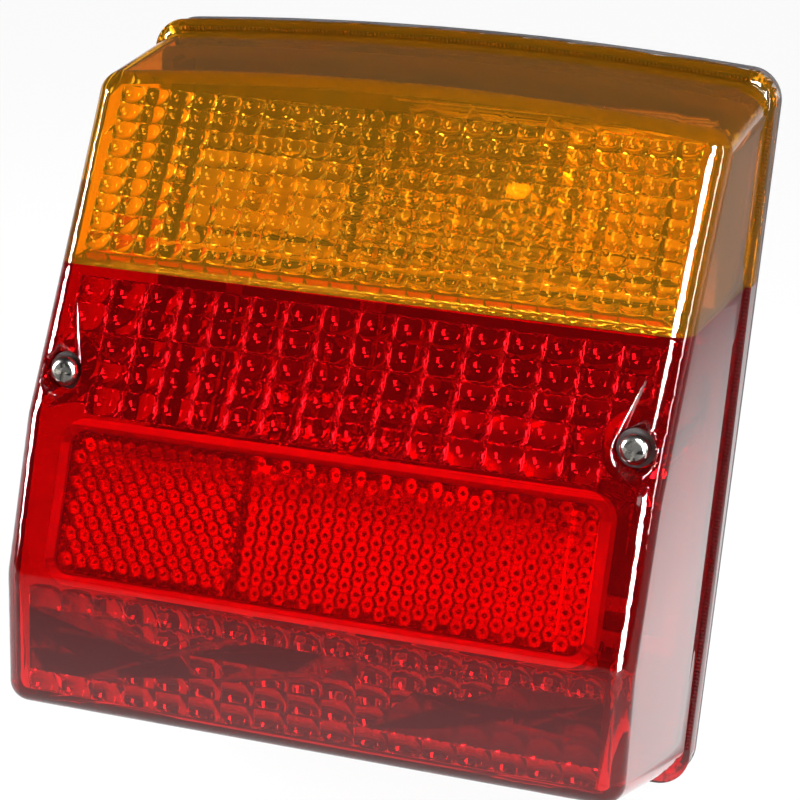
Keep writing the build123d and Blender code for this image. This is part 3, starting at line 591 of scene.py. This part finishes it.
# %% Camera
camera_data = bpy.data.cameras.new("camera")
camera = bpy.data.objects.new("camera", camera_data)
bpy.context.collection.objects.link(camera)
bpy.context.scene.camera = camera
PITCH, YAW, ROLL = 0.2145, 0.2775, 0.1351
FOCAL = 2300.0 / 800
OFFSET = Vector((6.25, -0.69, 364.8)) * MM
turn = Matrix.Rotation(ROLL, 3, "Z") @ Matrix.Rotation(YAW, 3, "Y") @ Matrix.Rotation(PITCH, 3, "X")
to_camera = turn @ Matrix(((1, 0, 0), (0, 0, -1), (0, 1, 0)))
place = -(to_camera.transposed() @ OFFSET)
axes = Matrix((to_camera[0], -to_camera[1], -to_camera[2])).transposed()
camera.matrix_world = Matrix.Translation(place) @ axes.to_4x4()
camera_data.sensor_width = 36.0
camera_data.lens = FOCAL * camera_data.sensor_width
camera_data.clip_start = 0.01
print("camera", [round(v, 4) for v in place])

# %% [markdown]
# The backdrop is plain and white to the eye. Gloss on a clear lens would mirror such a room and
# grey the colours, so the light that the lamp itself receives is graded: darker in front and
# overhead, bright behind. Softboxes to the left and right light the inside through the lens, a
# small front light wakes the reflector, and a strip light draws the line down the right corner.

# %% World and lights
world = bpy.data.worlds.new("studio")
bpy.context.scene.world = world
world.use_nodes = True
sky = world.node_tree
direction = add_node(sky, "ShaderNodeTexCoord").outputs["Generated"]
aim = add_node(sky, "ShaderNodeSeparateXYZ", {"Vector": direction})
behind = add_node(
    sky, "ShaderNodeMapRange",
    {"Value": aim.outputs["Y"], "From Min": 0.0, "From Max": 0.5, "To Min": 0.03, "To Max": 1.0},
)
overhead = add_node(
    sky, "ShaderNodeMapRange",
    {"Value": aim.outputs["Z"], "From Min": 0.03, "From Max": 0.25, "To Min": 1.0, "To Max": 0.06},
)
strength = add_node(
    sky, "ShaderNodeMath",
    {0: behind.outputs["Result"], 1: overhead.outputs["Result"]}, operation="MULTIPLY",
)
seen = add_node(sky, "ShaderNodeLightPath").outputs["Is Camera Ray"]
backdrop = add_node(
    sky, "ShaderNodeMix", {"Factor": seen, 2: strength.outputs["Value"], 3: 1.0}, data_type="FLOAT"
)
sky.links.new(backdrop.outputs[0], sky.nodes["Background"].inputs["Strength"])
sky.nodes["Background"].inputs["Color"].default_value = (1, 1, 1, 1)
bpy.context.scene.view_settings.view_transform = "Standard"
for name, spot, size, watts in (
    ("softbox right front", (0.42, -0.5, 0.12), (0.2, 0.4), 26.0),
    ("softbox left", (-0.75, -0.3, 0.2), (0.25, 0.4), 28.0),
    ("front light", (0.13, -0.45, 0.16), (0.14, 0.14), 0.25),
    ("strip light right", (0.62, -0.1, 0.22), (0.06, 0.5), 2.0),
    ("softbox top front", (0.25, -0.5, 0.55), (0.3, 0.2), 14.0),
):
    light_data = bpy.data.lights.new(name, "AREA")
    light_data.shape = "RECTANGLE"
    light_data.size, light_data.size_y = size
    light_data.energy = watts
    light = bpy.data.objects.new(name, light_data)
    bpy.context.collection.objects.link(light)
    light.location = spot
    light.rotation_euler = (Vector((0, -0.03, 0)) - Vector(spot)).to_track_quat("-Z", "Y").to_euler()

# %% [markdown]
# The floor is a pale sheet that glows a little, as a photographer's light table does, so it stays
# plain and nearly white.

# %% Floor
bpy.ops.object.select_all(action="DESELECT")
bpy.ops.mesh.primitive_plane_add(size=60.0, location=(0, 0, -0.0585))
floor = bpy.context.object
floor.name = "floor"
glow = bpy.data.materials.new("pale light table")
glow.use_nodes = True
glow_shader = glow.node_tree.nodes["Principled BSDF"]
glow_shader.inputs["Base Color"].default_value = linear("#161616")
glow_shader.inputs["Roughness"].default_value = 0.8
glow_shader.inputs["Emission Color"].default_value = (1, 1, 1, 1)
floor_tree = glow.node_tree
spot = add_node(floor_tree, "ShaderNodeTexCoord").outputs["Object"]
axes_of_floor = add_node(floor_tree, "ShaderNodeSeparateXYZ", {"Vector": spot})
to_right = add_node(
    floor_tree, "ShaderNodeMapRange",
    {"Value": axes_of_floor.outputs["X"], "From Min": 0.07, "From Max": 0.15, "To Min": 1.0, "To Max": 0.22},
)
to_front = add_node(
    floor_tree, "ShaderNodeMapRange",
    {"Value": axes_of_floor.outputs["Y"], "From Min": -0.13, "From Max": -0.09, "To Min": 0.1, "To Max": 1.0},
)
glow_level = add_node(
    floor_tree, "ShaderNodeMath",
    {0: to_right.outputs["Result"], 1: to_front.outputs["Result"]}, operation="MULTIPLY",
)
floor_seen = add_node(floor_tree, "ShaderNodeLightPath").outputs["Is Camera Ray"]
floor_level = add_node(
    floor_tree, "ShaderNodeMix", {"Factor": floor_seen, 2: glow_level.outputs["Value"], 3: 0.94},
    data_type="FLOAT",
)
floor_tree.links.new(floor_level.outputs[0], glow_shader.inputs["Emission Strength"])
floor.data.materials.append(glow)
print("floor at", round(floor.location.z * 1000, 1), "mm")
